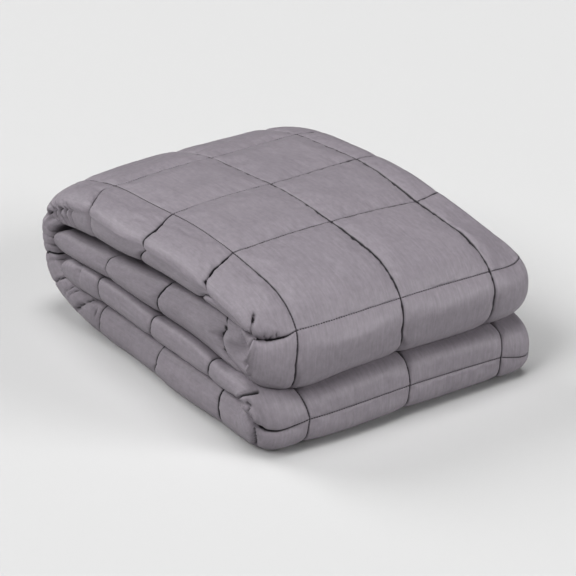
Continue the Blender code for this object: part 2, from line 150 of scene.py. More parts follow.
EDGE_FROM = .98  # where the top's right edge begins to rise or fall on its own
EDGE_WIDTH = .3  # over what distance it does
EDGE_CURVE = 1.5  # and by which power

# the fold's outer (o) and inner (i) line: where each run ends, and the power of a turn
PATH = table("part how oy oz iy iz op ip",
    ("free end of layer 2", "start", 1.45, .655, 1.45, .905),
    ("layer 2", "line", -1.69, .536, -1.5, 1.045),
    ("upper roll, under", "into", -1.952, .88, -1.508, 1.053, 2.4, 2),
    ("upper roll, over", "out of", 0, 1.474, .1, 1.061, 2.3, 2.4),
    ("back turn, over", "into", 1.79, .64, 1.5, .72, 3.5, 3.2),
    ("back turn, under", "out of", .45, 0, .45, .37, 2.4, 2.6),
    ("layer 4", "line", -1.6, 0, -1.58, .37),
    ("lower roll, under", "into", -1.975, .2, -1.587, .377, 2.6, 2),
    ("lower roll, over", "out of", -1.52, .548, -1.4, .384, 2.5, 2.2),
    ("layer 3", "line", 1.27, .66, 1.27, .41),
)

# sewn lines across the cloth, and how many rows of squares lie between each and the one before
SEWN_ALONG = table("line at squares",
    ("free end of layer 2", 0, 0),
    ("front of the upper roll", 3.79, 4),
    ("first across the top", 4.8, 1),
    ("second across the top", 5.7, 1),
    ("back of the top", 6.55, 1),
    ("back turn", 8.21, 2),
    ("back of the underside", 9.44, 1),
    ("front of the lower roll", 12.28, 3),
    ("free end of layer 3", 15.74, 4),
)

# sides of the stack along the path: its left and right ends, how far the outer and the inner face
# round off at the left and the outer one at the right (the inner one does as at its left), and the
# powers of the outer and the inner rounding
SIDES = table("place at left right outer inner round bow tuck",
    ("free end of layer 2", 0, -1.36, 1.33, .13, .12, .26, 3, 3.2),
    ("layer 2, front", 2.9, -1.36, 1.36, .12, .12, .26, 3.2, 3.2),
    ("upper roll, under", 3.35, -1.35, 1.44, .2, .12, .28, 2.8, 3.2),
    ("upper roll", 3.8, -1.35, 1.37, .34, .12, .42, 2.5, 3.2),
    ("top, front", 4.6, -1.38, 1.28, .44, .12, .56, 2.3, 3.2),
    ("top, back", 6.7, -1.39, 1.295, .44, .12, .56, 2.3, 3.2),
    ("back shoulder", 7.5, -1.38, 1.31, .42, .14, .5, 2.3, 3),
    ("back turn", 8.1, -1.37, 1.32, .4, .14, .4, 2.2, 2.8),
    ("back turn, lower half", 9, -1.365, 1.33, .3, .14, .4, 2.3, 2.8),
    ("layer 4, back", 9.7, -1.345, 1.36, .18, .12, .3, 2.8, 3.2),
    ("layer 4, front", 11.7, -1.35, 1.43, .18, .12, .3, 2.8, 3.2),
    ("lower roll", 12.4, -1.365, 1.44, .22, .12, .32, 2.6, 3.2),
    ("layer 3, front", 13.4, -1.38, 1.41, .12, .12, .26, 3.2, 3.2),
    ("free end of layer 3", 15.8, -1.38, 1.36, .13, .12, .26, 3, 3.2),
)

# where a seam draws the left folds in: its reach along the path and round the fold, and how deep
PINCHES = table("name at along reach depth",
    ("upper roll", 3.79, .04, .46, .15),
    ("lower roll", 12.28, .04, .3, .1),
    ("front of layer 2", 2.84, .09, .26, .07),
    ("first across the top", 4.8, .03, .6, .02),
    ("second across the top", 5.7, .03, .55, .012),
    ("back of the top", 6.55, .03, .5, .01),
)
PINCH_POWER = 1.5  # of their fall round the fold

# strips of squares beside the front seams that stand out more than the others
SWELLS = table("strip at along rise",
    ("over the front of the upper roll", 4.18, .26, .016),
    ("under the front of the upper roll", 3.58, .15, .02),
    ("under the front of the lower roll", 12.08, .12, .01),
    ("over the front of the lower roll", 12.5, .12, .016),
)

# where the sewn grid really runs, by place along the path: how far each crosswise line lags at
# LAG_PLACES across the cloth, and how far the three lengthwise lines stand aside
ASIDE_REACH = 1.5  # how far across the cloth the places stand aside with them
LAG_PLACES = (-1.65, -1.5, -1.4, -1.25, -1.08, -1, 0, 1, 1.35)
NO_LAG = (0,) * len(LAG_PLACES)
LATE = (.099,) * len(LAG_PLACES)
DRIFT = table("at lag aside",
    (0, NO_LAG, (0, 0, 0)),
    (3, NO_LAG, (0, 0, -.06)),
    (3.42, NO_LAG, (-.03, .01, -.06)),
    (3.55, (-.02, -.03, -.03, -.03, -.02, .01, .02, .04, .05), (-.05, -.03, -.065)),
    (3.79, (-.02, -.03, -.03, -.025, 0, .025, .038, .068, .1), (-.015, -.014, -.067)),
    (4.8, (-.5, -.45, -.29, -.144, -.043, .01, .018, .07, .1), (.024, .005, -.05)),
    (5.7, (-.36, -.3, -.2, -.13, 0, .05, -.01, .08, .12), (.021, -.022, -.031)),
    (6.55, (-.1, -.05, -.04, .02, .08, .08, 0, .07, .1), (-.04, -.09, -.11)),
    (7, (-.05, -.02, 0, 0, .02, .04, 0, .04, .05), (-.05, -.117, -.17)),
    (8.1, NO_LAG, (0, 0, 0)),
    (11.5, LATE, (0, 0, 0)),
    (12.1, (.049, .049, .049, .049, .079, .099, .089, .069, -.001), (.04, .05, .05)),
    (12.28, (.019, .019, .024, .039, .079, .099, .099, .089, .019), (.08, .085, .065)),
    (12.5, (.059, .059, .059, .059, .079, .099, .089, .069, .049), (.06, .1, .11)),
    (13.2, LATE, (0, 0, 0)),
    (15.2, LATE, (0, 0, 0)),
    (15.8, NO_LAG, (0, 0, 0)),
)

# the same lag close to the left folds, by the distance round the fold from its outermost line:
# minus on the inner face, plus on the outer
LEFT_PLACES = (-.6, -.35, -.20, -.12, 0, .12, .16, .22, .35, .6)
NO_LEFT_LAG = (0,) * len(LEFT_PLACES)
LEFT_LAG = table("at lag",
    (0, NO_LEFT_LAG),
    (.95, (0, .08, .1, .055, .01, 0, 0, 0, 0, 0)),
    (1.895, (0, .08, .1, .05, -.05, -.11, -.13, -.15, -.1, 0)),
    (2.843, (0, .08, .1, .085, -.035, -.005, .105, .22, .2, 0)),
    (3.35, NO_LEFT_LAG),
    (4.3, NO_LEFT_LAG),
    (4.8, (0, -.05, -.08, -.08, .08, .09, .08, .07, .055, .03)),
    (5.7, (0, .05, .07, .1, .14, .1, .09, .078, .07, .05)),
    (6.55, (0, .08, .1, .12, .14, .095, .1, .118, .16, .08)),
    (7.38, NO_LEFT_LAG),
    (8.21, (0, .13, .13, .13, .05, .02, 0, 0, 0, 0)),
    (9.44, (0, 0, 0, .01, .01, -.02, -.02, -.02, 0, 0)),
    (10.39, (0, .08, .08, .075, .05, -.04, -.05, -.05, 0, 0)),
    (11.34, (0, .085, .085, .085, .08, .075, .08, .08, .04, 0)),
    (12, NO_LEFT_LAG),
    (12.8, NO_LEFT_LAG),
    (13.15, (0, -.02, -.01, 0, .02, .06, .06, .06, .02, 0)),
    (14.02, (0, .1, .11, .11, .085, .12, .12, .12, .06, 0)),
    (14.89, (0, .1, .11, .12, .145, .18, .19, .19, .08, 0)),
    (15.64, NO_LEFT_LAG),
)

# how strongly the sewn lines show, in their grooves' depth and painted shade: each crosswise one at
# SHOW_PLACES across the cloth, and the three lengthwise ones by place along the path
SHOW_PLACES = (-1.65, -1.4, -1.15, -.97, 0, 1, 1.1, 1.4)
CROSSWISE = table("line at show",
    ("free end of layer 2", .95, (.7, 1, .6, .5, .5, .5, .5, .5)),
    ("back of layer 2", 1.9, (1, 1.3, .7, .5, .5, .5, .5, .5)),
    ("front of layer 2", 2.84, (1.3, 1.5, .9, .5, .5, .5, .5, .5)),
    ("front of the upper roll", 3.79, (1.4, 1.6, 1.1, .25, .26, .45, .5, .4)),
    ("first across the top", 4.8, (.9, 1.6, 1.3, .55, .48, .65, .9, 1)),
    ("second across the top", 5.7, (.5, 1.05, 1.3, .42, .38, .8, .9, .8)),
    ("back of the top", 6.55, (.4, .6, .9, .35, .33, .5, .7, .7)),
    ("first of the back turn", 7.38, (.8, .8, .6, .4, .4, .4, .4, .4)),
    ("second of the back turn", 8.21, (1.3, 1.3, .9, .4, .4, .4, .4, .4)),
    ("back of layer 4", 9.44, (.9, .9, .6, .4, .4, .4, .4, .4)),
    ("front of layer 4", 11.34, (1.2, 1.2, .7, .4, .4, .4, .4, .4)),
    ("front of the lower roll", 12.28, (.8, 1.1, .7, .45, .42, .45, .45, .4)),
    ("front of layer 3", 13.15, (.85, 1, .6, .4, .4, .4, .4, .4)),
    ("back of layer 3", 14.88, (.75, .95, .5, .4, .4, .4, .4, .4)),
)
LENGTHWISE = table("at show",
    (2.8, (.6, .6, .6)),
    (3.2, (.8, .8, 1)),
    (3.7, (.72, .9, .9)),
    (3.85, (.72, .85, .95)),
    (4.3, (.8, 1.4, 1.5)),
    (4.8, (.6, 1.2, 1.5)),
    (5, (.38, 1.1, 1.4)),
    (5.7, (.35, .9, 1.2)),
    (6.2, (.35, .6, .9)),
    (7.2, (.5, .6, .6)),
    (9.6, (.4, .4, .4)),
    (11.7, (.6, .6, .8)),
    (12.28, (.7, .7, .8)),
    (12.9, (.5, .5, .5)),
)

# creases and ridges that the tight turns press into the left folds, as runs of points (place
# along the path, distance round the fold as above).  A negative depth is a ridge, first is the
# strength at the run's first point, which grows to 1 at its last, and dark is how dark the bottom
# is painted, a painted shade standing in for the crease's shadow
CREASES = table("name depth width first dark run",
    ("slit over the corner", .085, .01, 1, .95, ((4.1, .18), (4.02, .145))),
    ("below that slit", .03, .01, 1, .35, ((4.02, .145), (3.93, .085), (3.86, .07))),
    ("corner of the upper roll", -.05, .015, 1, 0,
     ((3.78, .075), (3.6, .085), (3.41, .13), (3.28, .18))),
    ("beside that corner", .07, .015, 1, .85,
     ((3.73, .015), (3.6, .045), (3.45, .085), (3.28, .14))),
    ("hollow in layer 2's end", .07, .085, 1, 0, ((3.06, .03), (3.3, -.03), (3.48, -.1))),
    ("fold in that hollow", .04, .016, 1, .6, ((3.5, -.08), (3.3, .03), (3.18, .11))),
    ("ragged end of the lower roll", -.03, .02, 1, 0,
     ((12.62, .033), (12.56, .05), (12.48, 0), (12.45, 0),
      (12.425, .034), (12.425, .069), (12.34, .07))),
    ("under the ragged end", .09, .024, .8, 1,
     ((12.7, -.09), (12.6, -.065), (12.52, -.06), (12.5, -.01))),
    ("corner of the lower roll", .05, .014, 1, .95, ((12.208, .055), (12.126, .091), (11.936, .155))),
    ("knot on the lower corner", .03, .012, 1, .8, ((12.3, .13), (12.27, .16))),
    ("end of the top's side", .08, .036, .9, 1,
     ((7.691, .048), (7.544, -.01), (7.481, -.065), (7.46, -.12))),
    ("first gather", .055, .012, .8, .95, ((7.46, .067), (7.4, -.018), (7.313, -.063))),
    ("second gather", .06, .012, .8, 1, ((7.292, .034), (7.271, -.02), (7.144, -.061))),
    ("third gather", .055, .012, .7, .95, ((7.12, .06), (7.102, -.023), (7.039, -.061))),
    ("fourth gather", .045, .011, .6, .9, ((7.01, .03), (6.97, -.02), (6.934, -.06))),
    ("fifth gather", .03, .012, .2, .6, ((7.8, .06), (7.76, -.14))),
    ("sixth gather", .034, .013, .2, .7, ((7.94, .04), (7.92, -.14))),
    ("seventh gather", .034, .014, .2, .7, ((8.08, .03), (8.1, -.14))),
    ("eighth gather", .03, .013, .2, .7, ((8.32, .03), (8.3, -.14))),
    ("pleat in the back turn", .055, .014, .7, 1, ((8.553, .047), (8.595, -.042), (8.62, -.14))),
    ("deep pleat in the back turn", .07, .016, .7, 1,
     ((9.016, .032), (9.1, -.026), (9.171, -.117), (9.27, -.19))),
    ("small pleat, back turn", .036, .013, .6, .9, ((8.79, -.02), (8.82, -.12))),
    ("second small pleat, back turn", .038, .012, .6, .9, ((8.87, -.03), (8.91, -.13))),
    ("third small pleat, back turn", .032, .012, .5, .9, ((9.36, 0), (9.33, -.14))),
    ("pleat in layer 3", .035, .02, 1, .5, ((15.34, .15), (15.27, .03), (15.25, -.14))),
    ("second fold in that hollow", .035, .014, .6, .5, ((3.1, .13), (3.28, .1), (3.46, .1))),
    ("over the ragged end", .05, .013, 1, .9, ((12.59, -.02), (12.588, .118), (12.588, .17))),
    ("ragged edge", .03, .012, 1, .6,
     ((12.507, .051), (12.479, .069), (12.41, .017), (12.36, .05), (12.3, .005), (12.25, .036))),
    ("fan fold in layer 2", .035, .012, 1, .75, ((2.822, .02), (2.862, .122), (2.896, .163))),
    ("second fan fold in layer 2", .03, .012, 1, .5, ((2.788, .142), (2.788, .183), (2.807, .223))),
    ("pucker 1 by the corner", .02, .009, 1, .55, ((3.845, .2), (3.775, .225))),
    ("pucker 2 by the corner", .02, .009, 1, .55, ((3.83, .262), (3.785, .245))),
    ("pucker 3 by the corner", .02, .009, 1, .55, ((3.835, .3), (3.79, .315))),
)

# how much higher the creases between the layers lie at the left folds, from front to back
CREASE_RISE = table("y low mid high",
    (-1.9, .04, .075, 0),
    (-1.2, .03, .065, .02),
    (0, .01, .055, 0),
    (.8, 0, .04, -.05),
    (1.4, 0, .01, -.05),
)
LOW_CREASE = .39  # heights at which the rise of low, mid and high is reached
MID_CREASE = .60
HIGH_CREASE = 1.06
LOW_TO_MID = .21
MID_TO_HIGH = .46
HIGH_FADE = .25  # and how far above the last it ends
RISE_FROM = .98  # how far left of the middle the rise begins
RISE_WIDTH = .36
MOST_RISE = 1.1

# how far the top falls from its middle line to the left and right, and how far its right edge
# falls beyond that, from front to back
TOP_FALL = table("y left right edge",
    (-1.9, .05, .07, .11),
    (-1.5, .045, .07, .055),
    (-1.2, .045, .06, -.025),
    (-.9, .045, .05, -.08),
    (-.45, .064, .02, -.06),
    (0, .083, -.01, -.02),
    (.93, .09, -.03, 0),
    (1.35, .085, -.035, 0),
    (1.75, .08, -.03, 0),
)

# shares by place along the path, which counts from the end of a run of PATH: how much of the
# fall of the top there is, how much of the outer face's relief, and how loose its cloth is
FALLING = table("after beyond share",
    ("upper roll, under", -.3, 0),
    ("upper roll, under", .8, 1),
    ("upper roll, over", 0, 1),
    ("back turn, over", -1.2, 1),
    ("back turn, over", 0, .1),
)
SEEN = table("after beyond share",
    ("layer 2", -.1, 0),
    ("layer 2", .2, 1),
    ("free end of layer 2", 6.5, 1),
    ("free end of layer 2", 7.2, .5),
    ("free end of layer 2", 8.6, .5),
    ("back turn, under", -.4, 0),
    ("layer 4", .1, 0),
    ("lower roll, under", 0, 1),
    ("lower roll, over", -.1, 1),
    ("lower roll, over", .15, 0),
)
LOOSE = table("after beyond share",
    ("layer 2", -.1, 0),
    ("layer 2", .2, 1),
    ("back turn, under", -.5, 1),
    ("back turn, under", -.2, 0),
    ("layer 4", .1, 0),
    ("layer 4", .3, 1),
    ("lower roll, over", -.1, 1),
    ("lower roll, over", .1, 0),
)
FOLD_REACH = .13  # how far round the left folds the relief shows on both faces

# slow waves of the whole stack: which way they push, how far, how fast they run over x, y and z
UNEVEN = table("axis push x y z start",
    (0, .015, 0, 1.9, 4.1, 0),
    (0, .01, 0, 4.7, -3, 1),
    (1, .01, 2.3, 0, 2, 0),
)


# -------- the folded path
RUN_POINTS = 400


def run_points(a, b, face):
    t = np.linspace(0.0, 1.0, RUN_POINTS)
    y0, z0, y1, z1 = a[face + "y"], a[face + "z"], b[face + "y"], b[face + "z"]
    if b["how"] == "line":
        return np.column_stack([y0 + (y1 - y0) * t, z0 + (z1 - z0) * t])
    power = 2.0 / b[face + "p"]
    rise = np.sin(t * math.pi / 2) ** power
    late = 1.0 - np.cos(t * math.pi / 2) ** power
    along, up = (rise, late) if b["how"] == "into" else (late, rise)
    return np.column_stack([y0 + (y1 - y0) * along, z0 + (z1 - z0) * up])


def fold_path():
    """Both lines of the fold, the length along the outer one, and where each run of PATH ends."""
    faces = {}
    for face in ("o", "i"):
        runs = [run_points(a, b, face) for a, b in zip(PATH[:-1], PATH[1:])]
        faces[face] = np.concatenate([runs[0]] + [r[1:] for r in runs[1:]])
    steps = np.linalg.norm(np.diff(faces["o"], axis=0), axis=1)
    length = np.concatenate([[0.0], np.cumsum(steps)])
    ends = np.arange(len(PATH)) * (len(length) - 1) // (len(PATH) - 1)
    return faces["o"], faces["i"], length, {row["part"]: length[k] for row, k in zip(PATH, ends)}


OUTER, INNER, LENGTH, RUN_END = fold_path()
TOTAL = LENGTH[-1]


def share_along(s, rows):
    places = [RUN_END[row["after"]] + row["beyond"] for row in rows]
    return np.interp(s, places, column(rows, "share"))[:, None]


def sewn_lines():
    lines = [SEWN_ALONG[0]["at"]]
    for a, b in zip(SEWN_ALONG[:-1], SEWN_ALONG[1:]):
        for k in range(b["squares"]):
            lines.append(a["at"] + (b["at"] - a["at"]) * (k + 1) / b["squares"])
    return np.array(lines)


LINES = sewn_lines()

# how far apart the mesh rows stand, a row per stretch of the path
ROW_STEPS = table("to step",
    (2.60, .060),
    (4.40, .027),
    (6.85, .034),
    (9.10, .021),
    (9.60, .036),
    (11.80, .120),
    (13.05, .027),
    (16, .065),
)
END_SHARES = (0, .05, .12, .2, .3, .42, .56, .72, .88)  # rows in a free end's rounding
COLUMN_STEP = .027
SEAM_STEPS = (0, .005, .011, .020, .036)  # extra rows and columns beside a sewn line
CLOSEST = .0045


def refined(places, lines):
    """Sorted places with the seam steps about each line, and none closer than CLOSEST."""
    near = np.array([line + sign * step for line in lines for sign in (-1, 1) for step in SEAM_STEPS])
    clear = SEAM_STEPS[-1] + 0.4 * CLOSEST
    far = [q for q in places if min(abs(q - line) for line in lines) > clear]
    places = np.unique(np.round(np.concatenate([near, far]), 6))
    keep = [places[0]]
    for q in places[1:]:
        if q - keep[-1] >= CLOSEST:
            keep.append(q)
    return np.array(keep)


def mesh_rows():
    rows = [END_ROUND * q for q in END_SHARES]
    rows += [TOTAL - r for r in rows]
    at = END_ROUND
    for stretch in ROW_STEPS:
        stop = min(stretch["to"], TOTAL - END_ROUND)
        count = max(1, round((stop - at) / stretch["step"]))
        rows += list(np.linspace(at, stop, count, endpoint=False))
        at = stop
    rows = refined(np.array(sorted(rows)), LINES[1:-1])
    rows = rows[rows <= TOTAL]
    rows[-1] = TOTAL
    return rows


# the mesh columns: shares of the way round the left fold, of the way to the right tip and into the
# opening there, and on the inner face the same round a coarser middle
COLUMNS = refined(np.arange(-1 - SEAM_STEPS[-1], 1 + SEAM_STEPS[-1], COLUMN_STEP), SEWN_ACROSS)
LEFT_SHARES = np.linspace(0, 1, 27)[:-1]
RIGHT_SHARES = np.array([.03, .07, .12, .18, .25, .33, .41, .49, .57, .65, .72, .79, .85, .9, .95, 1])
OPENING_SHARES = np.array([.02, .04, .06, .08, .10, .13, .2, .5, 1])
HIDDEN = np.array([-.9, -.5, -.05, 0, .05, .5, .9, 1])
HIDDEN_LEFT = np.array([0, .03, .06, .1, .14, .19, .25, .32, .4, .5, .62, .75, .88])
HIDDEN_RIGHT = np.array([.15, .3, .45, .58, .7, .8, .9, 1])
TIP_RELIEF = .1  # share of the relief that is left at the right tip

# the columns of SIDES that shape each face: both ends, roundings at left and right, and the power
SECTION_KEYS = {
    "outer": ("left", "right", "outer", "round", "bow"),
    "inner": ("left", "right", "inner", "inner", "tuck"),
}


# -------- one cross-section
def half_section(left, right, reach, tip_reach, power, half):
    """A face of one layer from its left fold over the right tip into the opening there: places
    across, heights as shares of the half thickness, and the number of the point at the tip."""
    n = SECTION_POINTS
    a = np.linspace(0.0, math.pi / 2, n)
    s, c = np.sin(a) ** (2.0 / power), np.cos(a) ** (2.0 / power)
    tip_s, tip_c = np.sin(a) ** (2.0 / EDGE_POWER), np.cos(a) ** (2.0 / EDGE_POWER)
    opening = 0.5 * PLY_GAP / half
    parts = [
        (left + reach * (1 - c), s),
        (np.linspace(left + reach, right - tip_reach, n), np.ones(n)),
        (right - tip_reach * (1 - tip_s), 0.5 + 0.5 * tip_c),
        (right - TIP_RETURN * (1 - tip_c), 0.5 + (opening - 0.5) * tip_s),
        (np.linspace(right - TIP_RETURN, right - PLY_REACH, n), np.full(n, opening)),
    ]
    return np.concatenate([p[0] for p in parts]), np.concatenate([p[1] for p in parts]), 3 * n - 1


def half_columns(section, shares_left, cols, shares_right):
    """That face at the mesh columns: places across, heights, and distances across the cloth."""
    x, t, tip = half_section(*section)
    half = section[-1]
    across = np.concatenate([[0.0], np.cumsum(np.hypot(np.diff(x), np.diff(t * half)))])
    across -= np.interp(0.0, x[:tip], across[:tip])
    want = np.concatenate([
        across[0] + (cols[0] - across[0]) * shares_left,
        cols,
        cols[-1] + (across[tip] - cols[-1]) * shares_right,
        across[tip] + (across[-1] - across[tip]) * OPENING_SHARES,
    ])
    return np.interp(want, across, x), np.interp(want, across, t), want


def at_places(s, rows, key):
    return np.interp(s, column(rows, "at"), column(rows, key))


def columns_at(s, rows, key):
    """The numbers of a tuple column at s, an array for each of them."""
    return np.array([np.interp(s, column(rows, "at"), numbers) for numbers in zip(*column(rows, key))])


def smooth_at(s, rows, key, width=0.18):
    """Piecewise-linear table value at s, rounded at its corners."""
    steps = np.linspace(-1.5, 1.5, 13) * width
    w = bell(steps, width)
    return sum(wk * at_places(s + d, rows, key) for d, wk in zip(steps, w)) / w.sum()


# -------- smooth noise
NOISE_CELLS = 64
SEEDS = dict(ripples_across=11, ripples_along=12, dimples=13, waver_across=21, waver_along=22)


def noise(u, v, use):
    """Smooth value noise in -1..1 with a cell of 1."""
    cells = np.random.default_rng(SEEDS[use]).uniform(-1.0, 1.0, (NOISE_CELLS, NOISE_CELLS))
    iu, iv = np.floor(u).astype(int), np.floor(v).astype(int)
    fu, fv = u - iu, v - iv
    fu, fv = fu * fu * (3 - 2 * fu), fv * fv * (3 - 2 * fv)
    g = lambda a, b: cells[(iu + a) % NOISE_CELLS, (iv + b) % NOISE_CELLS]
    return (g(0, 0) * (1 - fu) + g(1, 0) * fu) * (1 - fv) + (g(0, 1) * (1 - fu) + g(1, 1) * fu) * fv


# -------- sewing and shaping
def beside(distance, width):
    return np.exp(-np.abs(distance) / width)


def bell(distance, width, power=2):
    return np.exp(-(distance / width) ** power)


def seams(s, v):
    """The nearest crosswise and the nearest lengthwise sewn line of every point: its number, how
    far off it and its wavering thread are, and how strongly it shows there."""
    gap = s[:, None] - LINES[None, 1:-1]
    line = np.argmin(np.abs(gap), axis=1)
    off = np.abs(gap[np.arange(len(s)), line])[:, None] + np.zeros_like(v)
    at_line = columns_at(LINES[1:-1][line], CROSSWISE, "show")
    show = np.array([np.interp(v[k], SHOW_PLACES, at_line[:, k]) for k in range(len(s))])
    knot = KNOT_WAVER * bell(v - KNOT_AT, KNOT_REACH, 4) * (show > KNOT_SHOW)
    bends = noise(v / WAVER_ACROSS, 2.0 * line[:, None], "waver_across")
    waver = (WAVER * np.minimum(show, 1) ** 2 + knot) * bends
    crosswise = dict(line=line[:, None], off=off, thread=np.abs(off + waver), show=show)

    gap = v[:, :, None] - np.array(SEWN_ACROSS)
    line = np.argmin(np.abs(gap), axis=2)
    off = np.min(np.abs(gap), axis=2)
    show = np.take_along_axis(columns_at(s, LENGTHWISE, "show").T, line, axis=1)
    bends = noise(s[:, None] / WAVER_ALONG, 2.0 * line, "waver_along")
    waver = WAVER * np.minimum(show, 1) ** 2 * bends
    return crosswise, dict(line=line, off=off, thread=np.abs(off + waver), show=show)


def seam_profile(seam, width):
    """Depth of a sewn line, wider where it shows most."""
    show = seam["show"]
    return show * bell(seam["thread"], width * np.maximum(show, 1))


def drawn_in(seam_pair, width):
    return np.maximum(*(seam_profile(seam, width) for seam in seam_pair))


def ripples(seam, place, shifts, use):
    """Small waves beside a gathered seam, by the place along it."""
    off, line = seam["off"], seam["line"]
    waves = noise(place / RIPPLE_LENGTH + shifts[0] * line, off / RIPPLE_DEPTH + shifts[1] * line, use)
    return RIPPLE * seam["show"] * waves * beside(off, RIPPLE_REACH) * (1 - beside(off, RIPPLE_CLEAR))


def relief(s, v, from_left, crown):
    """Height of the filled face over its sewn lines, in squares."""
    seam_pair = crosswise, lengthwise = seams(s, v)
    ds, dv = crosswise["off"], lengthwise["off"]
    puff = PUFF + (FOLD_PUFF - PUFF) * bell(from_left, PUFF_REACH)
    broad = (1 - beside(ds, PUFF_WIDTH)) * (1 - beside(dv, PUFF_WIDTH))
    groove = GROOVE - (GROOVE - FOLD_GROOVE) * bell(from_left, GROOVE_REACH, 4)
    middle = np.clip(2 * ds, 0, 1) * np.clip(2 * dv, 0, 1)
    valley = VALLEY * (1 - beside(ds, VALLEY_WIDTH)) * (1 - beside(dv, VALLEY_WIDTH))
    drawn = groove * drawn_in(seam_pair, GROOVE_WIDTH)
    height = puff * broad + valley + GROOVE - drawn + crown * np.sqrt(middle)
    height = height + ripples(crosswise, v, RIPPLE_SHIFTS_ACROSS, "ripples_across")
    height = height + ripples(lengthwise, s[:, None], RIPPLE_SHIFTS_ALONG, "ripples_along")
    return height + DIMPLE * noise(s[:, None] / DIMPLE_SIZE, v / DIMPLE_SIZE, "dimples") * middle


def pinch_depth(s, from_left):
    total = np.zeros_like(from_left)
    for p in PINCHES:
        along = beside(s - p["at"], p["along"])[:, None]
        total += p["depth"] * along * np.clip(1 - from_left / p["reach"], 0, 1) ** PINCH_POWER
    return total


def swell(s, v):
    rise = sum(row["rise"] * bell(s - row["at"], row["along"]) for row in SWELLS)
    return bell(v, SWELL_REACH, 6) * rise[:, None]


def creases_at(s, from_fold):
    """For every run of CREASES: its row, the mesh rows near it, and for their points the distance
    from the run and the share of its strength there."""
    for crease in CREASES:
        run = np.array(crease["run"])
        reach = 3 * crease["width"]
        near = np.nonzero((s > run[:, 0].min() - reach) & (s < run[:, 0].max() + reach))[0]
        a, b = s[near][:, None], from_fold[near]
        away, strength = np.full(b.shape, np.inf), np.ones(b.shape)
        ramp = np.linspace(crease["first"], 1.0, len(run))
        for (s0, d0), (s1, d1), f0, f1 in zip(run[:-1], run[1:], ramp[:-1], ramp[1:]):
            span = np.array([s1 - s0, d1 - d0])
            share = np.clip(((a - s0) * span[0] + (b - d0) * span[1]) / (span @ span), 0, 1)
            here = np.hypot(a - s0 - share * span[0], b - d0 - share * span[1])
            strength = np.where(here < away, f0 + (f1 - f0) * share, strength)
            away = np.minimum(away, here)
        yield crease, near, away, strength


def crease_depth(s, from_fold):
    total = np.zeros_like(from_fold)
    for crease, near, away, strength in creases_at(s, from_fold):
        total[near] += crease["depth"] * strength * bell(away, crease["width"])
    return total


def crease_painted_shade(s, from_fold):
    """Painted shade at the bottoms of the creases: how dark their colour is made there, 0 to 1."""
    shade_marks = np.zeros_like(from_fold)
    for crease, near, away, strength in creases_at(s, from_fold):
        width = max(CREASE_SHADE_WIDTH * crease["width"], THINNEST_SHADE)
        shade_marks[near] = np.maximum(shade_marks[near], crease["dark"] * strength * bell(away, width))
    return shade_marks


def seam_thread_and_shade(s, v):
    """1 in the groove of a seam that shows strongly, falling to 0 a little beside it: the thread's darker
    colour together with painted shade in the groove.
    """
    return np.minimum(drawn_in(seams(s, v), SEAM_SHADE_WIDTH), 1)


def by_y(y, rows, *keys):
    return (np.interp(y, column(rows, "y"), column(rows, key)) for key in keys)


def fall_of_top(p, s, x, t):
    left, right, edge = by_y(p[:, :, 1], TOP_FALL, "left", "right", "edge")
    fall = np.where(x < 0, left, right) * np.minimum(np.abs(x), FALL_REACH) ** FALL_POWER
    fall = fall + edge * np.clip((x - EDGE_FROM) / EDGE_WIDTH, 0, 1) ** EDGE_CURVE
    p[:, :, 2] -= share_along(s, FALLING) * fall * np.clip(t, 0, 1)


def draw_rolls_back(p, s, x, t):
    for roll, share in ROLL_SHARES.items():
        near = share * bell(s - RUN_END[roll] - ROLL_BEYOND, ROLL_REACH)[:, None]
        p[:, :, 1] += near * ROLL_BACK * np.where(x < 0, np.abs(x) ** 3, 0.0) * np.clip(t, 0, 1)


def settle_left(p):
    """Lifts the creases between the layers at the left folds, and lets the upper roll sag there."""
    x, y, z = p[:, :, 0], p[:, :, 1], p[:, :, 2]
    edge = np.clip((-x - RISE_FROM) / RISE_WIDTH, 0, MOST_RISE)
    edge = edge * edge * (3 - 2 * np.minimum(edge, 1.0))
    low, mid, high = by_y(y, CREASE_RISE, "low", "mid", "high")
    above_low, above_mid, above_high = z - LOW_CREASE, z - MID_CREASE, z - HIGH_CREASE
    rise = np.where(above_low < 0, low * z / LOW_CREASE, 0)
    rise = np.where((above_low >= 0) & (above_mid < 0), low + (mid - low) * above_low / LOW_TO_MID, rise)
    rise = np.where((above_mid >= 0) & (above_high < 0), mid + (high - mid) * above_mid / MID_TO_HIGH, rise)
    rise = np.where(above_high >= 0, high * np.clip(1 - above_high / HIGH_FADE, 0, 1), rise)
    front = np.clip((SAG_Y - y) / SAG_LENGTH, 0, 1)
    sag = SAG * front * bell(x - SAG_X, SAG_WIDTH) * bell(z - SAG_Z, SAG_HEIGHT)
    p[:, :, 2] = z + edge * rise - sag


def lag(s, v):
    """Distance along the path by which each point of row s stands behind the row."""
    at = columns_at(s, DRIFT, "lag")
    return np.array([np.interp(v[k], LAG_PLACES, at[:, k]) for k in range(len(s))])


def left_lag(s, from_fold):
    at = columns_at(s, LEFT_LAG, "lag")
    return np.array([np.interp(from_fold[k], LEFT_PLACES, at[:, k]) for k in range(len(s))])


def stand_aside(p, s, v):
    at = columns_at(s, DRIFT, "aside")
    for k in range(len(s)):
        p[k, :, 0] += np.interp(v[k], (-ASIDE_REACH, *SEWN_ACROSS, ASIDE_REACH), (0, *at[:, k], 0))


def uneven(p):
    x, y, z = (p[:, :, k].copy() for k in range(3))
    for axis in (0, 1):
        waves = [row for row in UNEVEN if row["axis"] == axis]
        angles = [row["x"] * x + row["y"] * y + row["z"] * z + row["start"] for row in waves]
        p[:, :, axis] += sum(row["push"] * np.sin(angle) for row, angle in zip(waves, angles))


